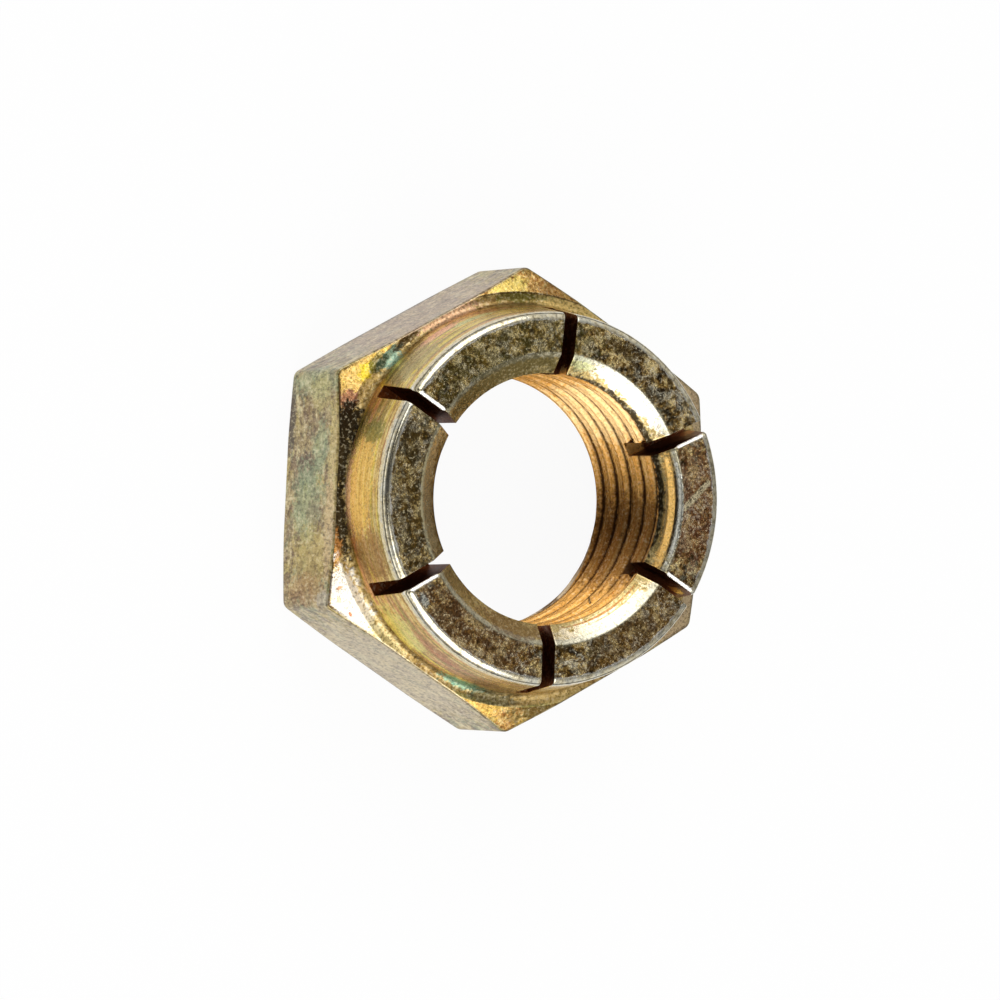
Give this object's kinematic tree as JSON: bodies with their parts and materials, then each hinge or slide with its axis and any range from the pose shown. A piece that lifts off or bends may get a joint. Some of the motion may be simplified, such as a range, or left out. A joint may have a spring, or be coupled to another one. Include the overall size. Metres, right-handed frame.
{
  "type": "slotted lock nut",
  "caption": "Hexagonal steel lock nut with a round slotted collar whose segments are bent in to grip the bolt.",
  "frame": {"origin": "centre of the bearing face, on the bolt axis", "axes": "+Z along the bolt axis from the bearing face to the crown, +X out through the middle of a wrench flat, +Y out through a corner"},
  "size_m": [0.014, 0.016, 0.0068],
  "materials": {
    "chromated_steel": "yellow chromate over zinc plate, worn silvery at the edges"
  },
  "bodies": {
    "root": {"lock_nut": "chromated_steel"}
  },
  "joints": []
}
